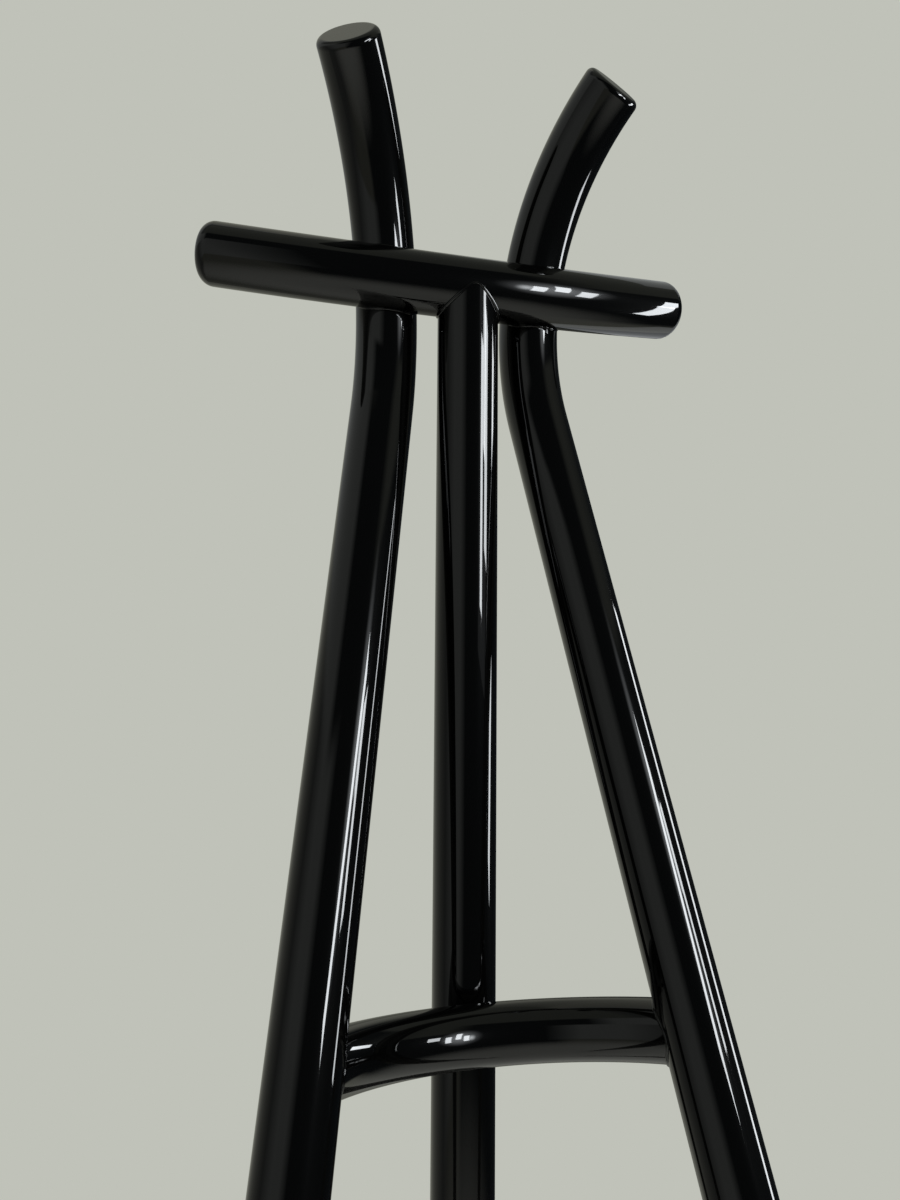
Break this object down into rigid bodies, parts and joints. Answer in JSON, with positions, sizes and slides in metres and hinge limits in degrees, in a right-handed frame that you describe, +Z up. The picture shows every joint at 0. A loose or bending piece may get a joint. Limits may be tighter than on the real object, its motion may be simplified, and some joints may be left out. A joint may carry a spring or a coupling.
{
  "type": "coat stand",
  "caption": "Free-standing tripod coat stand of round bent wood in gloss black lacquer, with two forward-bent horns, a bowed crossbar and an arched stretcher.",
  "frame": {"origin": "on the floor, in the middle plane, midway between the front feet and the rear foot", "axes": "+X to the right along the crossbar, +Y to the back, towards the rear leg, +Z up"},
  "size_m": [0.603, 0.4691, 1.758],
  "materials": {
    "black_lacquered_wood": "high-gloss black lacquer over bent and turned wood",
    "beech": "bare turned dowel wood",
    "zinc_steel": "bright zinc plate",
    "brass": "turned, untreated",
    "nylon": "moulded black nylon"
  },
  "bodies": {
    "root": {"side_leg_left": "black_lacquered_wood", "side_leg_right": "black_lacquered_wood", "rear_leg": "black_lacquered_wood", "crossbar": "black_lacquered_wood", "stretcher": "black_lacquered_wood", "bolt_plug_left": "black_lacquered_wood", "bolt_plug_right": "black_lacquered_wood", "bolt_plug_rear": "black_lacquered_wood", "rear_leg_dowel": "beech", "stretcher_dowel_left": "beech", "stretcher_dowel_right": "beech", "side_lap_bolts": "zinc_steel", "rear_lap_bolt": "zinc_steel", "glide_screws": "zinc_steel", "lap_inserts": "brass", "glide_left": "nylon", "glide_right": "nylon", "glide_rear": "nylon"}
  },
  "joints": []
}
